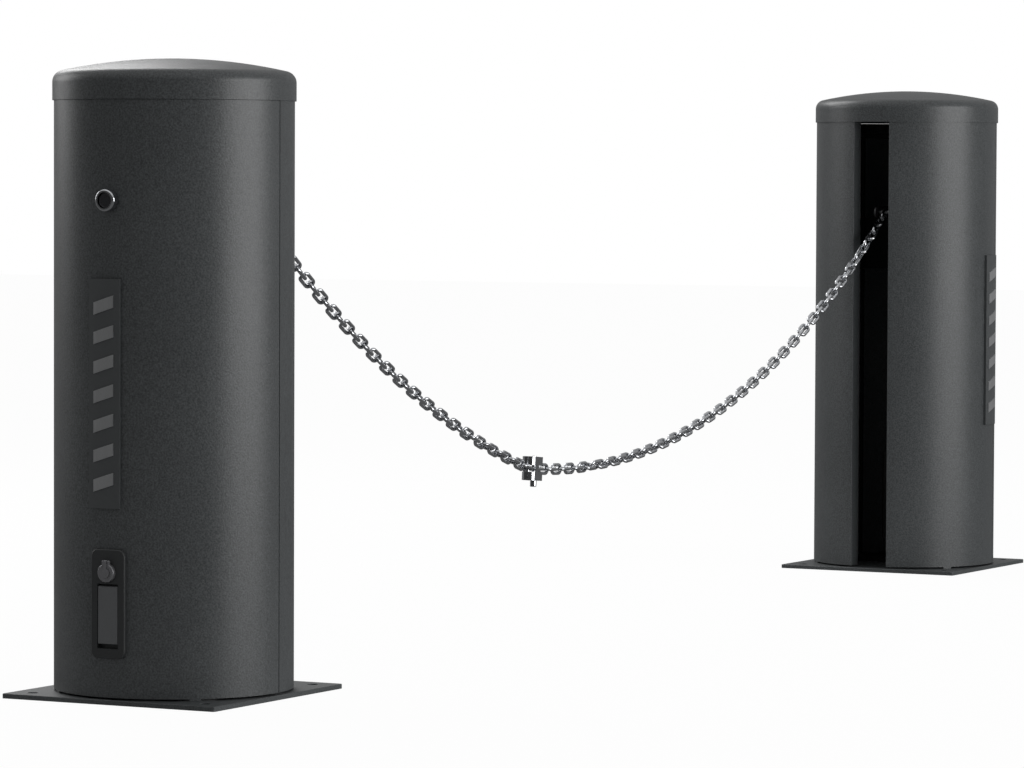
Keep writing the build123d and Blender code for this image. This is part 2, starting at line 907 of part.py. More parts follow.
def limit_switches():
    """Two switches on the front of the drive post's right-hand upright."""
    post = drive_post
    across = mast_half_width - mast_flange / 2
    with BuildPart() as switches:
        with BuildSketch(post.level(switch_low)):
            with Locations((mast_front + switch_depth / 2, across)):
                Rectangle(switch_depth, switch_width)
        extrude(amount=switch_height)
        with BuildSketch(post.level(switch_high)):
            with Locations((mast_front + switch_depth / 2, across)):
                Rectangle(switch_depth, switch_width)
        extrude(amount=switch_height)
    finish(switches, "limit_switches")


# Lamp on the drive post's cover
def lamp():
    post = drive_post
    bezel_back = shell_radius + seat_gap
    bezel_front = bezel_back + lamp_bezel_length
    with BuildPart() as bezel:
        with BuildSketch(post.back(bezel_back)):
            with Locations((0, lamp_height)):
                Circle(lamp_bezel_radius)
        extrude(amount=lamp_bezel_length)
        fillet(bezel.faces().sort_by(Axis.X)[0].edges(), lamp_bezel_edge)
        with BuildSketch(post.back(bezel_back)):
            with Locations((0, lamp_height)):
                Circle(lamp_lens_radius + seat_gap)
        extrude(amount=lamp_bezel_length + overrun, mode=Mode.SUBTRACT)
    finish(bezel, "lamp_bezel")
    lens_back = bezel_front - lamp_lens_sink - lamp_lens_thickness
    with BuildPart() as lens:
        with BuildSketch(post.back(lens_back)):
            with Locations((0, lamp_height)):
                Circle(lamp_lens_radius)
        extrude(amount=lamp_lens_thickness)
        fillet(lens.faces().sort_by(Axis.X)[0].edges(), lamp_lens_round)
    finish(lens, "lamp_lens")
    tail = lens_back - lamp_body_length
    with BuildPart() as body:
        with BuildSketch(post.back(tail)):
            with Locations((0, lamp_height)):
                Circle(lamp_body_radius)
        extrude(amount=bezel_back - tail)
        with BuildSketch(post.back(bezel_back)):
            with Locations((0, lamp_height)):
                Circle(lamp_lens_radius)
        extrude(amount=lens_back - bezel_back)
        with BuildSketch(post.back(shell_inside - lamp_nut_thickness - lamp_nut_gap)):
            with Locations((0, lamp_height)):
                RegularPolygon(lamp_nut_radius, 6)
        extrude(amount=lamp_nut_thickness)
    finish(body, "lamp_body")


# Lock on a cover
def lock_plate(post):
    """The lock's frame: a rounded plate with a pocket for the handle and a body behind it."""
    with BuildPart() as plate:
        with BuildSketch(post.back(lock_plate_back)):
            with Locations((0, lock_z)):
                RectangleRounded(lock_plate_width, lock_plate_height, lock_plate_corner)
        extrude(amount=lock_plate_front - lock_plate_back)
        outer = plate.faces().sort_by(Axis((0, 0, 0), (-post.facing, 0, 0)))[-1]
        fillet(outer.edges(), lock_plate_edge)
        with BuildSketch(post.level(0)):
            Circle(shell_radius + running_gap)
        extrude(amount=lock_z + lock_plate_height, mode=Mode.SUBTRACT)
        with BuildSketch(post.back(lock_body_back)):
            with Locations((0, lock_z)):
                Rectangle(lock_body_width, lock_body_height)
        extrude(amount=lock_plate_front - lock_plate_edge - lock_body_back)
        with BuildSketch(post.back(lock_pocket_floor)):
            with Locations((0, lock_z + lock_pocket_low)):
                Rectangle(
                    lock_pocket_width,
                    lock_pocket_high - lock_pocket_low,
                    align=(Align.CENTER, Align.MIN),
                )
        extrude(amount=lock_plate_front, mode=Mode.SUBTRACT)
        with BuildSketch(post.back(lock_body_back - overrun)):
            with Locations((0, cylinder_z)):
                Circle(cylinder_radius + running_gap)
        extrude(amount=lock_plate_front, mode=Mode.SUBTRACT)
        with BuildSketch(post.side()):
            with Locations((-handle_pin_reach, handle_pin_z)):
                Circle(handle_pin_radius + running_gap)
        extrude(amount=handle_pin_half_length + seat_gap, both=True, mode=Mode.SUBTRACT)
    finish(plate, f"{post.name}_lock_plate")


def lock_handle(post):
    """The flush handle, thinner at its lower end where the fingers go behind it."""
    top = lock_z + handle_high
    low = lock_z + handle_low
    back = handle_front - handle_thickness
    with BuildPart() as handle:
        with BuildSketch(post.side()):
            with BuildLine():
                Line((-handle_front, handle_pin_z), (-handle_front, low))
                Polyline(
                    (-handle_front, low),
                    (-handle_front + handle_grip_thickness, low),
                    (-handle_front + handle_grip_thickness, low + handle_grip_length),
                    (-back, low + 2 * handle_grip_length),
                    (-back, handle_pin_z),
                )
                ThreePointArc(
                    (-back, handle_pin_z),
                    (-handle_pin_reach, top),
                    (-handle_front, handle_pin_z),
                )
            make_face()
            with Locations((-handle_pin_reach, handle_pin_z)):
                Circle(handle_pin_radius + running_gap, mode=Mode.SUBTRACT)
        extrude(amount=handle_width / 2, both=True)
    finish(handle, f"{post.name}_lock_handle")


def lock_cylinder(post):
    """The key cylinder's round housing and the handle's hinge pin."""
    with BuildPart() as cylinder:
        with BuildSketch(post.back(lock_body_back)):
            with Locations((0, cylinder_z)):
                Circle(cylinder_radius)
        extrude(amount=cylinder_front - lock_body_back)
        outer = cylinder.faces().sort_by(Axis((0, 0, 0), (-post.facing, 0, 0)))[-1]
        fillet(outer.edges(), cylinder_edge)
        with BuildSketch(post.back(lock_body_back - overrun)):
            with Locations((0, cylinder_z)):
                Circle(plug_radius + 2 * running_gap)
        extrude(amount=cylinder_front, mode=Mode.SUBTRACT)
        hinge_reach = cylinder_front - dust_hinge_radius
        with BuildSketch(post.side()):
            with Locations((-hinge_reach, cylinder_z + dust_hinge_rise)):
                Circle(dust_hinge_radius)
            with Locations((-hinge_reach, cylinder_z + cylinder_radius - cylinder_edge)):
                Rectangle(
                    2 * dust_hinge_radius,
                    dust_hinge_rise - cylinder_radius + cylinder_edge,
                    align=(Align.CENTER, Align.MIN),
                )
        extrude(amount=dust_hinge_width / 2 + dust_ear_width, both=True)
        with BuildSketch(post.side()):
            with Locations((-hinge_reach, cylinder_z + dust_hinge_rise)):
                Circle(dust_hinge_radius + 4 * seat_gap)
        extrude(amount=dust_hinge_width / 2, both=True, mode=Mode.SUBTRACT)
        with BuildSketch(post.side()):
            with Locations((-hinge_reach, cylinder_z + dust_hinge_rise)):
                Circle(dust_hinge_radius / 2)
        extrude(amount=dust_hinge_width / 2 + dust_ear_width, both=True)
    with BuildPart() as pin:
        with BuildSketch(post.side()):
            with Locations((-handle_pin_reach, handle_pin_z)):
                Circle(handle_pin_radius)
        extrude(amount=handle_pin_half_length, both=True)
    with BuildPart() as both:
        add(cylinder.part)
        add(pin.part)
    finish(both, f"{post.name}_lock_cylinder")


def lock_plug(post):
    """The plug that the key turns, with its cam behind the cover."""
    with BuildPart() as plug:
        with BuildSketch(post.back(plug_back)):
            with Locations((0, cylinder_z)):
                Circle(plug_radius)
        extrude(amount=plug_front - plug_back)
        with BuildSketch(post.back(plug_front - overrun / 2)):
            with Locations((0, cylinder_z)):
                Rectangle(plug_radius / 4, plug_radius)
        extrude(amount=overrun, mode=Mode.SUBTRACT)
        with BuildSketch(post.back(plug_back - cam_thickness)):
            with Locations((0, cylinder_z)):
                Circle(cam_width / 2)
                Rectangle(cam_width, cam_length, align=(Align.CENTER, Align.MAX))
        extrude(amount=cam_thickness)
    finish(plug, f"{post.name}_lock_plug")


def dust_cap(post):
    """A small cover over the keyhole, hinged above the cylinder."""
    hinge_reach = cylinder_front - dust_hinge_radius
    cap_back = cylinder_front + seat_gap
    hinge_z = cylinder_z + dust_hinge_rise
    with BuildPart() as cover:
        with BuildSketch(post.back(cap_back)):
            with Locations((0, cylinder_z)):
                Circle(dust_cap_radius)
                Rectangle(
                    dust_arm_width,
                    dust_hinge_rise + dust_hinge_radius / 2,
                    align=(Align.CENTER, Align.MIN),
                )
        extrude(amount=dust_cap_thickness)
        with BuildSketch(post.side()):
            with Locations((-hinge_reach, hinge_z)):
                Circle(dust_hinge_radius + seat_gap)
            with Locations((-cap_back - dust_cap_thickness, hinge_z)):
                Rectangle(
                    cap_back + dust_cap_thickness - hinge_reach,
                    dust_hinge_radius,
                    align=(Align.MIN, Align.CENTER),
                )
            with Locations((-hinge_reach, hinge_z)):
                Circle(dust_hinge_radius / 2 + running_gap, mode=Mode.SUBTRACT)
        extrude(amount=dust_arm_width / 2, both=True)
    finish(cover, f"{post.name}_dust_cap")


# Badge strips
def arc_strip(half_angle, inside, outside):
    """A curved band about the shell's axis, centred on the x direction."""
    Circle(outside)
    Circle(inside, mode=Mode.SUBTRACT)
    reach = 2 * outside
    rise = reach * math.tan(math.radians(half_angle))
    Polygon((0, 0), (reach, rise), (reach, -rise), align=None, mode=Mode.INTERSECT)


def badge(post, turn):
    """A plain strip with slanted plain bars, turn degrees round from the slot."""
    turned = post.level(0).rotated((0, 0, turn))
    inside = shell_radius + running_gap
    outside = inside + badge_thickness
    with BuildPart() as strip:
        with BuildSketch(turned.offset(badge_low)):
            arc_strip(badge_half_angle, inside, outside)
        extrude(amount=badge_high - badge_low)
    finish(strip, f"{post.name}_badge_strip")
    pitch = (badge_high - badge_low - 2 * badge_end_margin) / badge_bar_count
    half = badge_bar_half_angle * math.pi / 180 * outside
    with BuildPart() as bars:
        for index in range(badge_bar_count):
            low = badge_low + badge_end_margin + (index + 0.5) * pitch - badge_bar_height / 2
            with BuildSketch(turned * Plane.YZ):
                with BuildLine():
                    Polyline(
                        (-half, low - badge_bar_slant / 2),
                        (half, low + badge_bar_slant / 2),
                        (half, low + badge_bar_slant / 2 + badge_bar_height),
                        (-half, low - badge_bar_slant / 2 + badge_bar_height),
                        close=True,
                    )
                make_face()
            extrude(amount=outside + overrun)
        with BuildSketch(turned.offset(badge_low)):
            Circle(outside + badge_bar_thickness)
            Circle(outside, mode=Mode.SUBTRACT)
        extrude(amount=badge_high - badge_low, mode=Mode.INTERSECT)
    finish(bars, f"{post.name}_badge_bars")


# Chain
def hang(start, end, length):
    """The hanging curve of a given length between two points: parameter, lowest x and its base."""
    run = end[0] - start[0]
    rise = end[1] - start[1]
    level_length = math.sqrt(length**2 - rise**2)
    low = run * curve_steepest_ratio
    high = run * curve_flattest_ratio
    for _ in range(80):
        middle = (low + high) / 2
        if 2 * middle * math.sinh(run / (2 * middle)) > level_length:
            low = middle
        else:
            high = middle
    lowest = (start[0] + end[0]) / 2 - low * math.asinh(rise / (2 * low * math.sinh(run / (2 * low))))
    base = start[1] - low * math.cosh((start[0] - lowest) / low)
    return low, lowest, base


def on_curve(curve, start_x, distance):
    """The point and the slope angle at a distance along the curve."""
    parameter, lowest, base = curve
    arc = parameter * math.sinh((start_x - lowest) / parameter) + distance
    x = lowest + parameter * math.asinh(arc / parameter)
    z = base + math.hypot(parameter, arc)
    return x, z, math.atan(arc / parameter)


def slant(steps):
    """The share of the slant that a link has, counted in links from the stretch's end."""
    return min(max(steps - straight_count + 1, 0) / twist_count, 1)


def chain_links(start, end, count, first_roll, last_roll):
    """Centre, slope and roll of each link of a hanging stretch between two pins. The links
    near the pins lie level or upright, the others slant by an eighth of a turn."""
    length = (count - 1) * chain_pitch + 2 * half_straight
    curve = hang(start, end, length)
    links = []
    for index in range(count):
        x, z, slope = on_curve(curve, start[0], half_straight + index * chain_pitch)
        into = slant(index)
        out = 1 - slant(count - 1 - index)
        roll = first_roll + 90 * index + 45 * into + (last_roll - 45) * out
        links.append((x, z, slope, roll))
    return curve, links


def link_plane(x, z, slope, roll):
    """The plane of one link: its long direction along the chain, turned about it by roll."""
    along = Vector(math.cos(slope), 0, math.sin(slope))
    upward = Vector(-math.sin(slope), 0, math.cos(slope))
    turn = math.radians(roll)
    normal = Vector(0, 1, 0) * math.cos(turn) + upward * math.sin(turn)
    return Plane(origin=(x, 0, z), x_dir=along, z_dir=normal)


def joint_place(curve, start_x, links, first):
    """Where a run of links turns: about the end wire of the level link beside the joint, or
    midway between two slanted links."""
    before = abs(math.sin(math.radians(links[first - 1][3])))
    after = abs(math.sin(math.radians(links[first][3])))
    distance = half_straight + (first - 0.5) * chain_pitch
    return on_curve(curve, start_x, distance + end_wire_offset * round(before - after))


def one_link():
    """A link of round wire, closed by two half circles."""
    with BuildPart() as link:
        with BuildLine() as path:
            Line((-half_straight, arc_radius), (half_straight, arc_radius))
            ThreePointArc(
                (half_straight, arc_radius),
                (half_straight + arc_radius, 0),
                (half_straight, -arc_radius),
            )
            Line((half_straight, -arc_radius), (-half_straight, -arc_radius))
            ThreePointArc(
                (-half_straight, -arc_radius),
                (-half_straight - arc_radius, 0),
                (-half_straight, arc_radius),
            )
        with BuildSketch(Plane(origin=(0, arc_radius, 0), x_dir=(0, 1, 0), z_dir=(1, 0, 0))):
            Circle(chain_wire / 2)
        sweep(path=path.line)
    return link.part


def chain():
    link = one_link()
    drive_hook = (drive_post.x + drive_hook_reach, drive_hook_height)
    far_hook = (far_post.x - far_hook_reach, far_hook_height)
    tilt = math.radians(connector_tilt)
    lean_x = connector_pin_spread / 2 * math.cos(tilt)
    lean_z = connector_pin_spread / 2 * math.sin(tilt)
    left_pin = (connector_x - lean_x, connector_z + lean_z)
    right_pin = (connector_x + lean_x, connector_z - lean_z)
    stretches = (
        ("drive", drive_hook, left_pin, drive_link_count, 0, 0, drive_group_counts),
        ("far", right_pin, far_hook, far_link_count, 90, 90, far_group_counts),
    )
    for side, start, end, count, first_roll, last_roll, groups in stretches:
        curve, links = chain_links(start, end, count, first_roll, last_roll)
        print(side, "chain parameter", round(curve[0], 1), "lowest at", round(curve[1], 1))
        first = 0
        for number, size in enumerate(groups, 1):
            placed = [link_plane(*place).location * link for place in links[first : first + size]]
            with BuildPart() as group:
                add(placed)
            finish(group, f"chain_{side}_{number}")
            joint = joint_place(curve, start[0], links, first) if first else start
            print(side, number, "joint at", round(joint[0], 3), round(joint[1], 3))
            first += size


def connector_plane():
    """The connector's own plane: x along the chain, y across, z up, tilted with the chain."""
    tilt = math.radians(connector_tilt)
    return Plane(
        origin=(connector_x, 0, connector_z),
        x_dir=(math.cos(tilt), 0, -math.sin(tilt)),
        z_dir=(math.sin(tilt), 0, math.cos(tilt)),
    )


def connector():
    base = connector_plane()
    half_width = connector_width / 2
    inside = half_width - connector_wall
    spread = connector_pin_spread / 2
    nose = -spread - connector_pin_radius + half_width - connector_wall
    tail = spread + connector_tail
    with BuildPart() as body:
        with BuildSketch(base.offset(-connector_height / 2)):
            with Locations((nose, 0)):
                Circle(half_width)
                Rectangle(tail - nose, connector_width, align=(Align.MIN, Align.CENTER))
                Circle(inside, mode=Mode.SUBTRACT)
                Rectangle(
                    tail - nose + overrun,
                    2 * inside,
                    align=(Align.MIN, Align.CENTER),
                    mode=Mode.SUBTRACT,
                )
            with Locations((-spread, 0)):
                Circle(connector_pin_radius + connector_wall)
            with Locations((spread, 0)):
                Rectangle(2 * lock_pin_radius + connector_wall, 2 * inside + connector_wall)
                Circle(lock_pin_core_radius + running_gap, mode=Mode.SUBTRACT)
        extrude(amount=connector_height)
        with BuildSketch(base.offset(-connector_mouth / 2)):
            with Locations((nose, 0)):
                Rectangle(
                    half_width + overrun,
                    connector_width + overrun,
                    align=(Align.MAX, Align.CENTER),
                )
            with Locations((-nose, 0)):
                Rectangle(
                    tail + nose + overrun,
                    connector_width + overrun,
                    align=(Align.MIN, Align.CENTER),
                )
            with Locations((-spread, 0)):
                Circle(connector_pin_radius, mode=Mode.SUBTRACT)
        extrude(amount=connector_mouth, mode=Mode.SUBTRACT)
        with BuildSketch(base.offset(-connector_mouth / 2 - overrun)):
            with Locations((-spread, 0)):
                Circle(connector_pin_radius)
        extrude(amount=connector_mouth + 2 * overrun)
    finish(body, "connector_body")
    with BuildPart() as pin:
        with BuildSketch(base.offset(-connector_height / 2 - lock_pin_drop)):
            with Locations((spread, 0)):
                Circle(lock_pin_radius)
        extrude(amount=lock_pin_drop - seat_gap)
        chamfer(pin.edges().sort_by(Axis.Z)[0], lock_pin_edge)
        with BuildSketch(base.offset(-connector_height / 2 - seat_gap - running_gap)):
            with Locations((spread, 0)):
                Circle(lock_pin_core_radius)
        extrude(amount=connector_height + seat_gap + running_gap + connector_rivet_height)
    finish(pin, "connector_lock_pin")


# The whole barrier
for post in (drive_post, far_post):
    base_plate(post)
    front_shell(post)
    cap(post)
    lock_plate(post)
    lock_handle(post)
    lock_cylinder(post)

rear_cover(drive_post, True)
rear_cover(far_post, False)
mast(drive_post, True)
mast(far_post, False)
guide_rods()
pulley(drive_post, upper_pulley_height, "drive_upper_pulley", 0)
pulley(drive_post, lower_pulley_height, "drive_lower_pulley", gear_inside + gear_edge_radius)
pulley(far_post, upper_pulley_height, "far_upper_pulley", 0)
pulley(far_post, lower_pulley_height, "far_lower_pulley", 0)
axles()
belts()
carriage(drive_post, drive_hook_reach, drive_hook_height, False)
carriage(far_post, far_hook_reach, far_hook_height, True)
hook_pin(drive_post, drive_hook_reach, drive_hook_height, hook_pin_head_radius)
hook_pin(far_post, far_hook_reach, far_hook_height, slot_washer_radius)
counterweight()
gear_motor()
control_box()
limit_switches()
lamp()
lock_plug(drive_post)
lock_plug(far_post)
dust_cap(drive_post)
badge(drive_post, badge_drive_turn)
badge(far_post, badge_far_turn)
chain()
connector()
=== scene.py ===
"""Looks of an automatic chain barrier: two dark coated posts and a polished chain between them.

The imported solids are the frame. Each operator finishes one group of pieces, and the last one
sets up the studio. Lengths are in metres.
"""

import math

import bpy
from bpy.props import FloatProperty, FloatVectorProperty, PointerProperty
from bpy.types import Operator, Panel, PropertyGroup
from mathutils import Matrix, Vector

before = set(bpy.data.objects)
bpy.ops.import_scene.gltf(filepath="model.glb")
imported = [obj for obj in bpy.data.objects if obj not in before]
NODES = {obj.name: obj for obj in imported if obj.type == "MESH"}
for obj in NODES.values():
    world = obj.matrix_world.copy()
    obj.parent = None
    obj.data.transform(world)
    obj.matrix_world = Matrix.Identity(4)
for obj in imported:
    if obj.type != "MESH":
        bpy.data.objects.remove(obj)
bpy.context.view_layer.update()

# The powder coat: how far its dust reaches up, how deep its grain is
DUST_REACH = 0.16
GRAIN_DEPTH = 0.0003
COAT_SPECULAR = 0.42
# The handled surface's relief
MOTTLE_DEPTH = 0.0004
# The masts' coat is dull and near-black, darker than paint, as painted shade so that the slots look
# black
MAST_SPECULAR = 0.15
# The studio: floor plane, and each lamp's place, target, width, height and power in watts
FLOOR_SIZE = 40.0
FLOOR_DROP = 0.0006
FLOOR_SHOWN = 0.97
MIDDLE = (1.15, 0.0, 0.4)
FAR_CAP = (2.31, 0.0, 0.76)
LAMPS = (
    ("Side", (1.4, -5.4, 1.1), MIDDLE, 4.6, 3.0, 225.0),
    ("Back", (0.6, 4.2, 1.8), MIDDLE, 2.4, 2.0, 42.0),
    ("High", (2.7, 2.6, 2.7), FAR_CAP, 1.8, 1.8, 50.0),
)

bl_info = {
    "name": "Chain barrier looks",
    "version": (1, 0, 0),
    "blender": (4, 5, 0),
    "location": "3D View > Sidebar > Chain barrier",
    "description": "Finishes the pieces of a chain barrier and sets up its studio",
    "category": "Object",
}


def colour(name, description, default):
    """A colour property."""
    return FloatVectorProperty(
        name=name,
        description=description,
        subtype="COLOR",
        size=4,
        min=0.0,
        max=1.0,
        default=(*default, 1.0),
    )


def share(name, description, default):
    """A property from nothing to full."""
    return FloatProperty(
        name=name,
        description=description,
        subtype="FACTOR",
        min=0.0,
        max=1.0,
        default=default,
    )


def length(name, description, default):
    """A length property."""
    return FloatProperty(
        name=name,
        description=description,
        subtype="DISTANCE",
        unit="LENGTH",
        min=0.0,
        default=default,
    )


class CoatSettings(PropertyGroup):
    """The powder coat on the shells, caps and base plates."""

    shade: colour("Coat colour", "Colour of the posts' powder coat", (0.050, 0.054, 0.056))
    shine: share("Roughness", "How dull the coat is", 0.38)
    grain: length("Grain size", "Size of the coat's orange peel", 0.0022)
    relief: share("Grain strength", "How strongly the grain shows", 0.55)
    plate_shade: colour("Plate colour", "Colour of the base plates", (0.046, 0.050, 0.052))


class MetalSettings(PropertyGroup):
    """Bare and plated metal."""

    chain_shade: colour("Chain colour", "Colour of the polished chain", (0.52, 0.53, 0.55))
    chain_shine: share("Chain roughness", "How dull the chain is", 0.12)
    bar_shade: colour("Bar colour", "Colour of the badge bars", (0.62, 0.63, 0.64))
    rod_shade: colour("Rod colour", "Colour of rods and pins", (0.52, 0.52, 0.53))
    bush_shade: colour("Bush colour", "Colour of the sintered bushes", (0.42, 0.27, 0.11))


class TrimSettings(PropertyGroup):
    """Plastic, rubber and the parts inside."""

    lock_shade: colour("Lock colour", "Colour of the lock's frame", (0.024, 0.026, 0.027))
    strip_shade: colour("Strip colour", "Colour of the badge strips", (0.050, 0.054, 0.056))
    cylinder_shade: colour("Cylinder colour", "Colour of the lock cylinders", (0.20, 0.20, 0.21))
    handle_shade: colour("Handle colour", "Colour of the lock's handle", (0.085, 0.088, 0.092))
    # The mast colour is black paint made darker still, as painted shade inside the slots
    mast_paint_and_shade: colour("Mast colour", "Colour of the mast and the carriages", (0.006, 0.006, 0.006))
    motor_shade: colour("Motor colour", "Colour of the gear motor", (0.06, 0.075, 0.09))
    box_shade: colour("Box colour", "Colour of the control box", (0.50, 0.51, 0.52))
    lens_shade: colour("Lens colour", "Colour of the lamp's lens", (0.020, 0.021, 0.023))
    board_shade: colour("Board colour", "Colour of the control board", (0.02, 0.12, 0.05))
    iron_shade: colour("Weight colour", "Colour of the counterweight", (0.035, 0.034, 0.033))


class StageSettings(PropertyGroup):
    """Camera, floor and lights."""

    camera_place: FloatVectorProperty(
        name="Camera place",
        description="Where the camera stands",
        subtype="TRANSLATION",
        unit="LENGTH",
        size=3,
        default=(-5.101, -3.176, 0.648),
    )
    camera_heading: FloatProperty(
        name="Heading",
        description="The camera's heading from the chain's direction",
        subtype="ANGLE",
        default=math.radians(27.88),
    )
    camera_dip: FloatProperty(
        name="Dip",
        description="How far the camera looks down",
        subtype="ANGLE",
        default=math.radians(2.467),
    )
    camera_roll: FloatProperty(
        name="Roll",
        description="The camera's roll",
        subtype="ANGLE",
        default=math.radians(0.233),
    )
    camera_lens: FloatProperty(
        name="Focal length",
        description="Focal length on a 36 mm wide picture, in millimetres",
        min=1.0,
        default=168.75,
    )
    floor_shade: colour("Floor colour", "Colour of the studio floor", (0.80, 0.80, 0.80))
    ambient: share("Ambient light", "How bright the room is around the object", 0.38)
    near_wall: share("Near wall", "How bright the wall behind the camera looks in metal", 0.05)
    far_wall: share("Far wall", "How bright the backdrop looks in the pieces", 0.32)
    ceiling: share("Ceiling", "How bright the ceiling looks in the pieces", 0.75)
    floor_mirror: share("Floor in pieces", "How bright the floor looks in the pieces", 0.14)


def post_settings():
    """The four groups of settings on the scene."""
    scene = bpy.context.scene
    return scene.barrier_coat, scene.barrier_metal, scene.barrier_trim, scene.barrier_stage


# Materials
def shader(name, roughness=0.5, metallic=0.0):
    """A new material with its Principled shader, and the node tree to add to."""
    material = bpy.data.materials.new(name)
    material.use_nodes = True
    tree = material.node_tree
    surface = tree.nodes["Principled BSDF"]
    surface.inputs["Roughness"].default_value = roughness
    surface.inputs["Metallic"].default_value = metallic
    return material, tree, surface


def wire(tree, source, target):
    """Joins two sockets."""
    tree.links.new(source, target)


def new_group(name, inputs, outputs):
    """An empty shader node group with named inputs (name, default) and outputs (name, type)."""
    group = bpy.data.node_groups.new(name, "ShaderNodeTree")
    for label, default in inputs:
        kind = "NodeSocketColor" if isinstance(default, tuple) else "NodeSocketFloat"
        socket = group.interface.new_socket(name=label, in_out="INPUT", socket_type=kind)
        socket.default_value = default
    for label, kind in outputs:
        group.interface.new_socket(name=label, in_out="OUTPUT", socket_type=kind)
    entry = group.nodes.new("NodeGroupInput")
    leave = group.nodes.new("NodeGroupOutput")
    return group, entry, leave


def noise(group, coordinates, scale_socket, detail):
    """A noise texture driven by a scale socket."""
    texture = group.nodes.new("ShaderNodeTexNoise")
    texture.inputs["Detail"].default_value = detail
    wire(group, coordinates, texture.inputs["Vector"])
    wire(group, scale_socket, texture.inputs["Scale"])
    return texture.outputs["Fac"]


def arithmetic(group, operation, first, second):
    """A math node. Each operand is a socket or a number."""
    node = group.nodes.new("ShaderNodeMath")
    node.operation = operation
    for socket, value in zip(node.inputs, (first, second)):
        if isinstance(value, (int, float)):
            socket.default_value = value
        else:
            wire(group, value, socket)
    return node.outputs[0]


def spread(group, value, low, high, out_low, out_high):
    """Maps a value from one range to another, held at both ends."""
    node = group.nodes.new("ShaderNodeMapRange")
    node.inputs["From Min"].default_value = low
    node.inputs["From Max"].default_value = high
    for label, bound in (("To Min", out_low), ("To Max", out_high)):
        if isinstance(bound, (int, float)):
            node.inputs[label].default_value = bound
        else:
            wire(group, bound, node.inputs[label])
    wire(group, value, node.inputs["Value"])
    return node.outputs["Result"]


def tinted(group, base, factor):
    """A colour multiplied by a grey factor."""
    mix = group.nodes.new("ShaderNodeVectorMath")
    mix.operation = "SCALE"
    wire(group, base, mix.inputs[0])
    wire(group, factor, mix.inputs["Scale"])
    return mix.outputs[0]


def coat_group():
    """Powder coat: fine orange peel, faint clouding and dust towards the ground."""
    group, entry, leave = new_group(
        "Powder coat",
        (
            ("Colour", (0.05, 0.05, 0.05, 1.0)),
            ("Roughness", 0.45),
            ("Grain scale", 600.0),
            ("Grain strength", 0.2),
            ("Ground dust", 0.3),
        ),
        (
            ("Colour", "NodeSocketColor"),
            ("Roughness", "NodeSocketFloat"),
            ("Normal", "NodeSocketVector"),
        ),
    )
    place = group.nodes.new("ShaderNodeTexCoord").outputs["Object"]
    grain = noise(group, place, entry.outputs["Grain scale"], 2.0)
    cloud_scale = arithmetic(group, "MULTIPLY", entry.outputs["Grain scale"], 0.012)
    cloud = noise(group, place, cloud_scale, 3.0)
    apart = group.nodes.new("ShaderNodeSeparateXYZ")
    wire(group, place, apart.inputs[0])
    low_dust = spread(group, apart.outputs["Z"], 0.0, DUST_REACH, 1.0, 0.0)
    dust = arithmetic(group, "MULTIPLY", low_dust, entry.outputs["Ground dust"])
    dust = arithmetic(group, "MULTIPLY", dust, cloud)
    speck = spread(group, grain, 0.30, 0.70, 0.62, 1.38)
    tone = spread(group, cloud, 0.25, 0.75, 0.94, 1.06)
    factor = arithmetic(group, "MULTIPLY", speck, tone)
    factor = arithmetic(group, "ADD", factor, dust)
    wire(group, tinted(group, entry.outputs["Colour"], factor), leave.inputs["Colour"])
    rough = spread(group, cloud, 0.25, 0.75, -0.03, 0.03)
    rough = arithmetic(group, "ADD", rough, entry.outputs["Roughness"])
    rough = arithmetic(group, "ADD", rough, arithmetic(group, "MULTIPLY", dust, 0.3))
    wire(group, rough, leave.inputs["Roughness"])
    bump = group.nodes.new("ShaderNodeBump")
    bump.inputs["Distance"].default_value = GRAIN_DEPTH
    wire(group, entry.outputs["Grain strength"], bump.inputs["Strength"])
    wire(group, grain, bump.inputs["Height"])
    wire(group, bump.outputs["Normal"], leave.inputs["Normal"])
    return group


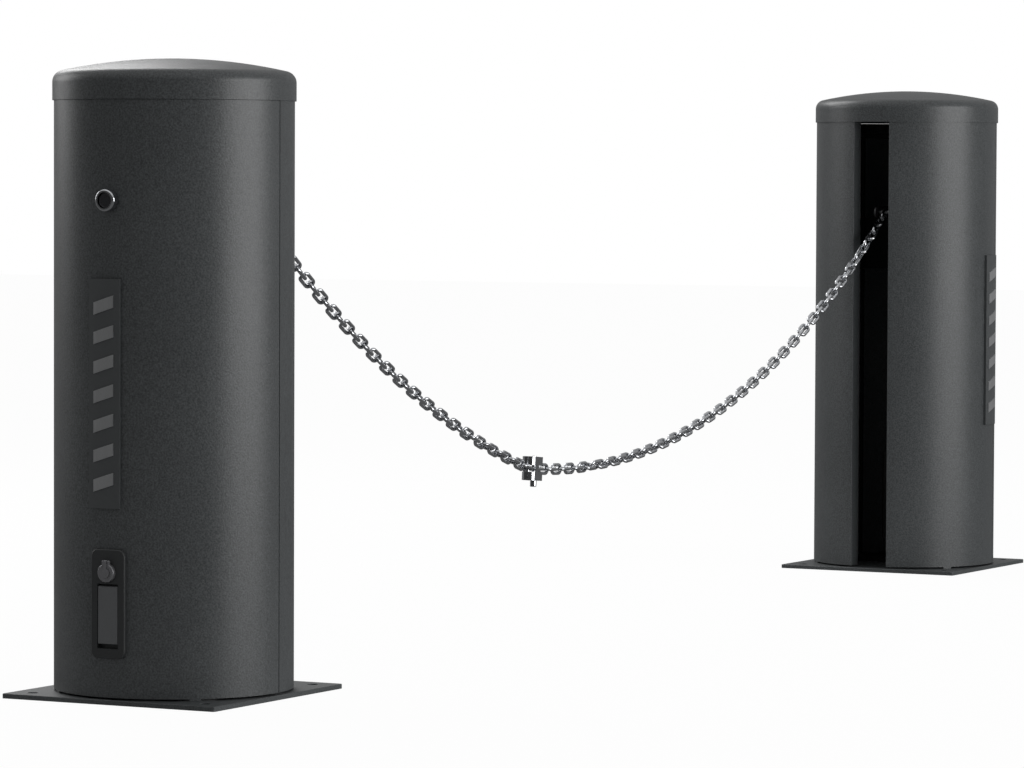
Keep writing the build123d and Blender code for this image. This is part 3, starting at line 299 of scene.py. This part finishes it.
def handled_group():
    """Handled surface: fine mottling with faint smears, for metal and plastic."""
    group, entry, leave = new_group(
        "Handled surface",
        (
            ("Colour", (0.5, 0.5, 0.5, 1.0)),
            ("Roughness", 0.3),
            ("Roughness spread", 0.1),
            ("Scale", 60.0),
            ("Tone spread", 0.05),
            ("Relief", 0.05),
            ("Stretch", 1.0),
        ),
        (
            ("Colour", "NodeSocketColor"),
            ("Roughness", "NodeSocketFloat"),
            ("Normal", "NodeSocketVector"),
        ),
    )
    place = group.nodes.new("ShaderNodeTexCoord").outputs["Object"]
    stretch = group.nodes.new("ShaderNodeCombineXYZ")
    stretch.inputs["X"].default_value = 1.0
    stretch.inputs["Y"].default_value = 1.0
    wire(group, entry.outputs["Stretch"], stretch.inputs["Z"])
    shaped = group.nodes.new("ShaderNodeVectorMath")
    shaped.operation = "MULTIPLY"
    wire(group, place, shaped.inputs[0])
    wire(group, stretch.outputs[0], shaped.inputs[1])
    smear = noise(group, shaped.outputs[0], entry.outputs["Scale"], 4.0)
    fine_scale = arithmetic(group, "MULTIPLY", entry.outputs["Scale"], 9.0)
    fine = noise(group, shaped.outputs[0], fine_scale, 2.0)
    low = arithmetic(group, "SUBTRACT", 1.0, entry.outputs["Tone spread"])
    high = arithmetic(group, "ADD", 1.0, entry.outputs["Tone spread"])
    tone = spread(group, fine, 0.3, 0.7, low, high)
    wire(group, tinted(group, entry.outputs["Colour"], tone), leave.inputs["Colour"])
    rough = spread(group, smear, 0.3, 0.7, 0.0, entry.outputs["Roughness spread"])
    rough = arithmetic(group, "ADD", rough, entry.outputs["Roughness"])
    wire(group, rough, leave.inputs["Roughness"])
    bump = group.nodes.new("ShaderNodeBump")
    bump.inputs["Distance"].default_value = MOTTLE_DEPTH
    wire(group, entry.outputs["Relief"], bump.inputs["Strength"])
    wire(group, fine, bump.inputs["Height"])
    wire(group, bump.outputs["Normal"], leave.inputs["Normal"])
    return group


GROUPS = {}


def effect(tree, name, values):
    """Places a shared effect in a material and sets its inputs."""
    makers = {"Powder coat": coat_group, "Handled surface": handled_group}
    if name not in GROUPS:
        GROUPS[name] = makers[name]()
    node = tree.nodes.new("ShaderNodeGroup")
    node.node_tree = GROUPS[name]
    for label, value in values.items():
        node.inputs[label].default_value = value
    surface = tree.nodes["Principled BSDF"]
    wire(tree, node.outputs["Colour"], surface.inputs["Base Color"])
    wire(tree, node.outputs["Roughness"], surface.inputs["Roughness"])
    wire(tree, node.outputs["Normal"], surface.inputs["Normal"])


def coat_material(name, shade, settings, dust):
    """Textured powder coat."""
    material, tree, surface = shader(name)
    surface.inputs["Specular IOR Level"].default_value = COAT_SPECULAR
    effect(
        tree,
        "Powder coat",
        {
            "Colour": tuple(shade),
            "Roughness": settings.shine,
            "Grain scale": 1.0 / settings.grain,
            "Grain strength": settings.relief,
            "Ground dust": dust,
        },
    )
    return material


def handled_material(name, shade, roughness, metallic=0.0, **changes):
    """Metal or plastic with a handled surface."""
    material, tree, surface = shader(name, metallic=metallic)
    values = {"Colour": tuple(shade), "Roughness": roughness}
    values.update(changes)
    effect(tree, "Handled surface", values)
    return material


def dress(names, material):
    """Gives CAD nodes a material."""
    for name in names:
        mesh = NODES[name].data
        mesh.materials.clear()
        mesh.materials.append(material)


class BARRIER_OT_shells(Operator):
    """Coat the shells, covers, caps and base plates"""

    bl_idname = "barrier.shells"
    bl_label = "Coat the posts"

    def execute(self, context):
        coat, _, _, _ = post_settings()
        shell_coat = coat_material("Anthracite powder coat", coat.shade, coat, 0.25)
        dress(
            (
                "drive_front_shell",
                "drive_rear_cover",
                "drive_cap",
                "far_front_shell",
                "far_rear_cover",
                "far_cap",
            ),
            shell_coat,
        )
        plate_coat = coat_material("Base plate coat", coat.plate_shade, coat, 0.5)
        dress(("drive_base_plate", "far_base_plate"), plate_coat)
        return {"FINISHED"}


class BARRIER_OT_chain(Operator):
    """Polish the chain and its connector"""

    bl_idname = "barrier.chain"
    bl_label = "Polish the chain"

    def execute(self, context):
        _, metal, _, _ = post_settings()
        polished = handled_material(
            "Polished chain steel",
            metal.chain_shade,
            metal.chain_shine,
            1.0,
            Scale=90.0,
            Relief=0.04,
        )
        dress([name for name in NODES if name.startswith("chain_")], polished)
        folded = handled_material(
            "Polished connector steel",
            metal.chain_shade,
            metal.chain_shine,
            1.0,
            Scale=70.0,
            Relief=0.03,
        )
        dress(("connector_body", "connector_lock_pin"), folded)
        return {"FINISHED"}


class BARRIER_OT_lamp(Operator):
    """Finish the signal lamp"""

    bl_idname = "barrier.lamp"
    bl_label = "Finish the lamp"

    def execute(self, context):
        _, metal, trim, _ = post_settings()
        bright = handled_material("Lamp chrome", metal.chain_shade, 0.08, 1.0, Scale=120.0)
        dress(("lamp_bezel",), bright)
        lens = handled_material("Smoked lens", trim.lens_shade, 0.10, Scale=150.0)
        dress(("lamp_lens",), lens)
        body = handled_material("Lamp body plastic", trim.lock_shade, 0.5)
        dress(("lamp_body",), body)
        return {"FINISHED"}


class BARRIER_OT_lock(Operator):
    """Finish the locks on the covers"""

    bl_idname = "barrier.lock"
    bl_label = "Finish the locks"

    def execute(self, context):
        _, metal, trim, _ = post_settings()
        black = handled_material("Lock frame plastic", trim.lock_shade, 0.38, Scale=200.0)
        dress(("drive_lock_plate", "far_lock_plate"), black)
        grip = handled_material(
            "Handle plastic", trim.handle_shade, 0.55, Scale=260.0, Relief=0.3
        )
        dress(("drive_lock_handle", "far_lock_handle"), grip)
        bright = handled_material("Lock plug steel", metal.chain_shade, 0.22, 1.0, Scale=150.0)
        dress(("drive_lock_plug", "far_lock_plug"), bright)
        dull = handled_material("Dark plated steel", trim.cylinder_shade, 0.3, 0.6, Scale=200.0)
        dress(("drive_lock_cylinder", "far_lock_cylinder", "drive_dust_cap"), dull)
        return {"FINISHED"}


class BARRIER_OT_badges(Operator):
    """Finish the plain badge strips"""

    bl_idname = "barrier.badges"
    bl_label = "Finish the strips"

    def execute(self, context):
        _, metal, trim, _ = post_settings()
        dark = handled_material("Strip backing", trim.strip_shade, 0.38, Scale=120.0)
        dress(("drive_badge_strip", "far_badge_strip"), dark)
        satin = handled_material(
            "Satin aluminium bars",
            metal.bar_shade,
            0.34,
            1.0,
            Scale=180.0,
            Stretch=0.15,
            Relief=0.08,
        )
        dress(("drive_badge_bars", "far_badge_bars"), satin)
        return {"FINISHED"}


class BARRIER_OT_works(Operator):
    """Finish the mast, the carriages and the drive inside the posts"""

    bl_idname = "barrier.works"
    bl_label = "Finish the works"

    def execute(self, context):
        _, metal, trim, _ = post_settings()
        # Mast and carriages: black paint darkened further as painted shade, so the slots look black
        mast = handled_material("Black mast coat and painted shade", trim.mast_paint_and_shade, 0.75, Scale=90.0)
        surface = mast.node_tree.nodes["Principled BSDF"]
        surface.inputs["Specular IOR Level"].default_value = MAST_SPECULAR
        dress(("drive_mast", "far_mast", "drive_carriage", "far_carriage"), mast)
        ground = handled_material("Ground steel", metal.rod_shade, 0.28, 1.0, Stretch=0.1)
        dress(("guide_rods", "pulley_axles", "drive_hook_pin", "far_hook_pin"), ground)
        bush = handled_material("Sintered bronze", metal.bush_shade, 0.45, 1.0)
        dress(("drive_carriage_bushes", "far_carriage_bushes"), bush)
        rubber = handled_material("Belt rubber", trim.lock_shade, 0.75, Scale=160.0)
        dress(("drive_belts",), rubber)
        turned = handled_material("Turned aluminium", metal.bar_shade, 0.3, 1.0)
        dress(
            (
                "drive_upper_pulley",
                "drive_lower_pulley",
                "far_upper_pulley",
                "far_lower_pulley",
            ),
            turned,
        )
        motor = handled_material("Motor enamel", trim.motor_shade, 0.35, Scale=120.0)
        dress(("gear_motor",), motor)
        box = handled_material("Box plastic", trim.box_shade, 0.5, Scale=150.0)
        dress(("control_box", "control_box_lid"), box)
        board = handled_material("Board lacquer", trim.board_shade, 0.35, Scale=200.0)
        dress(("control_board",), board)
        switch = handled_material("Switch plastic", trim.lock_shade, 0.45, Scale=150.0)
        dress(("limit_switches",), switch)
        iron = handled_material("Cast iron", trim.iron_shade, 0.7, Scale=60.0, Relief=0.5)
        dress(("counterweight",), iron)
        return {"FINISHED"}


def area_lamp(name, place, target, width, height, strength):
    """A soft rectangular lamp that points at a place."""
    data = bpy.data.lights.new(name, "AREA")
    data.shape = "RECTANGLE"
    data.size = width
    data.size_y = height
    data.energy = strength
    lamp = bpy.data.objects.new(name, data)
    bpy.context.scene.collection.objects.link(lamp)
    lamp.location = place
    aim = Vector(target) - Vector(place)
    lamp.rotation_euler = aim.to_track_quat("-Z", "Y").to_euler()


class BARRIER_OT_stage(Operator):
    """Set up the camera, the floor and the lights"""

    bl_idname = "barrier.stage"
    bl_label = "Set up the studio"

    def execute(self, context):
        _, _, _, stage = post_settings()
        scene = context.scene
        scene.view_settings.view_transform = "Standard"
        self.camera(scene, stage)
        self.floor(stage)
        self.world(scene, stage)
        for lamp in LAMPS:
            area_lamp(*lamp)
        return {"FINISHED"}

    def camera(self, scene, stage):
        """The camera, placed by its heading, dip and roll."""
        heading, dip, roll = stage.camera_heading, stage.camera_dip, stage.camera_roll
        ahead = Vector(
            (
                math.cos(heading) * math.cos(dip),
                math.sin(heading) * math.cos(dip),
                -math.sin(dip),
            )
        )
        level = Vector((math.sin(heading), -math.cos(heading), 0.0))
        upright = level.cross(ahead)
        right = level * math.cos(roll) + upright * math.sin(roll)
        up = upright * math.cos(roll) - level * math.sin(roll)
        data = bpy.data.cameras.new("Camera")
        data.lens = stage.camera_lens
        data.sensor_width = 36.0
        data.clip_start = 0.1
        data.clip_end = 100.0
        camera = bpy.data.objects.new("Camera", data)
        scene.collection.objects.link(camera)
        turn = Matrix((right, up, -ahead)).transposed().to_4x4()
        camera.matrix_world = Matrix.Translation(Vector(stage.camera_place)) @ turn
        scene.camera = camera

    def floor(self, stage):
        """A plain pale floor that shows nearly white to the camera, with a faint shadow."""
        bpy.ops.object.select_all(action="DESELECT")
        bpy.ops.mesh.primitive_plane_add(
            size=FLOOR_SIZE, location=(MIDDLE[0], 0.0, -FLOOR_DROP)
        )
        plane = bpy.context.active_object
        plane.name = "studio_floor"
        bpy.ops.object.transform_apply(location=True, rotation=True, scale=True)
        material, tree, surface = shader("Studio floor", roughness=0.9)
        surface.inputs["Base Color"].default_value = tuple(stage.floor_shade)
        plane.data.materials.append(material)
        white = tree.nodes.new("ShaderNodeEmission")
        path = tree.nodes.new("ShaderNodeLightPath")
        seen, mirrored = path.outputs["Is Camera Ray"], path.outputs["Is Glossy Ray"]
        bright = spread(tree, seen, 0.0, 1.0, stage.floor_mirror, 1.0)
        wire(tree, bright, white.inputs["Strength"])
        shown = arithmetic(tree, "MULTIPLY", seen, FLOOR_SHOWN)
        mix = tree.nodes.new("ShaderNodeMixShader")
        wire(tree, arithmetic(tree, "MAXIMUM", shown, mirrored), mix.inputs["Fac"])
        wire(tree, surface.outputs[0], mix.inputs[1])
        wire(tree, white.outputs[0], mix.inputs[2])
        wire(tree, mix.outputs[0], tree.nodes["Material Output"].inputs["Surface"])

    def world(self, scene, stage):
        """White to the camera, soft grey to the object. Its reflection is bright towards the
        ceiling, grey towards the backdrop and dark on the camera's side, as in a studio."""
        world = bpy.data.worlds.new("Studio")
        scene.world = world
        world.use_nodes = True
        tree = world.node_tree
        background = tree.nodes["Background"]
        background.inputs["Color"].default_value = (1.0, 1.0, 1.0, 1.0)
        path = tree.nodes.new("ShaderNodeLightPath")
        heading = tree.nodes.new("ShaderNodeTexCoord").outputs["Generated"]
        ahead = tree.nodes.new("ShaderNodeVectorMath")
        ahead.operation = "DOT_PRODUCT"
        turn = stage.camera_heading
        ahead.inputs[1].default_value = (math.cos(turn), math.sin(turn), 0.0)
        wire(tree, heading, ahead.inputs[0])
        walls = spread(
            tree, ahead.outputs["Value"], -0.05, 0.45, stage.near_wall, stage.far_wall
        )
        apart = tree.nodes.new("ShaderNodeSeparateXYZ")
        wire(tree, heading, apart.inputs[0])
        above = spread(tree, apart.outputs["Z"], 0.2, 0.75, 0.0, stage.ceiling)
        mirrored = arithmetic(tree, "MAXIMUM", walls, above)
        lit = self.blend(tree, path.outputs["Is Glossy Ray"], stage.ambient, mirrored)
        shown = self.blend(tree, path.outputs["Is Camera Ray"], lit, 1.0)
        wire(tree, shown, background.inputs["Strength"])

    def blend(self, tree, share_socket, first, second):
        """First where the share is 0, second where it is 1."""
        return spread(tree, share_socket, 0.0, 1.0, first, second)


class BARRIER_PT_panel(Panel):
    """The barrier's sizes, colours and steps"""

    bl_label = "Chain barrier"
    bl_idname = "BARRIER_PT_panel"
    bl_space_type = "VIEW_3D"
    bl_region_type = "UI"
    bl_category = "Chain barrier"

    def draw(self, context):
        layout = self.layout
        for settings in post_settings():
            for name in settings.__annotations__:
                layout.prop(settings, name)
        for step in STEPS:
            layout.operator(step.bl_idname)


STEPS = (
    BARRIER_OT_shells,
    BARRIER_OT_chain,
    BARRIER_OT_lamp,
    BARRIER_OT_lock,
    BARRIER_OT_badges,
    BARRIER_OT_works,
    BARRIER_OT_stage,
)
SETTINGS = (
    ("barrier_coat", CoatSettings),
    ("barrier_metal", MetalSettings),
    ("barrier_trim", TrimSettings),
    ("barrier_stage", StageSettings),
)


def register():
    """Registers the settings, the steps and the panel."""
    for name, settings in SETTINGS:
        bpy.utils.register_class(settings)
        setattr(bpy.types.Scene, name, PointerProperty(type=settings))
    for item in (*STEPS, BARRIER_PT_panel):
        bpy.utils.register_class(item)


def unregister():
    """Takes them away again."""
    for item in reversed((*STEPS, BARRIER_PT_panel)):
        bpy.utils.unregister_class(item)
    for name, settings in reversed(SETTINGS):
        delattr(bpy.types.Scene, name)
        bpy.utils.unregister_class(settings)


def main():
    """Runs every step."""
    register()
    bpy.ops.barrier.shells()
    bpy.ops.barrier.chain()
    bpy.ops.barrier.lamp()
    bpy.ops.barrier.lock()
    bpy.ops.barrier.badges()
    bpy.ops.barrier.works()
    bpy.ops.barrier.stage()


if __name__ == "__main__":
    main()
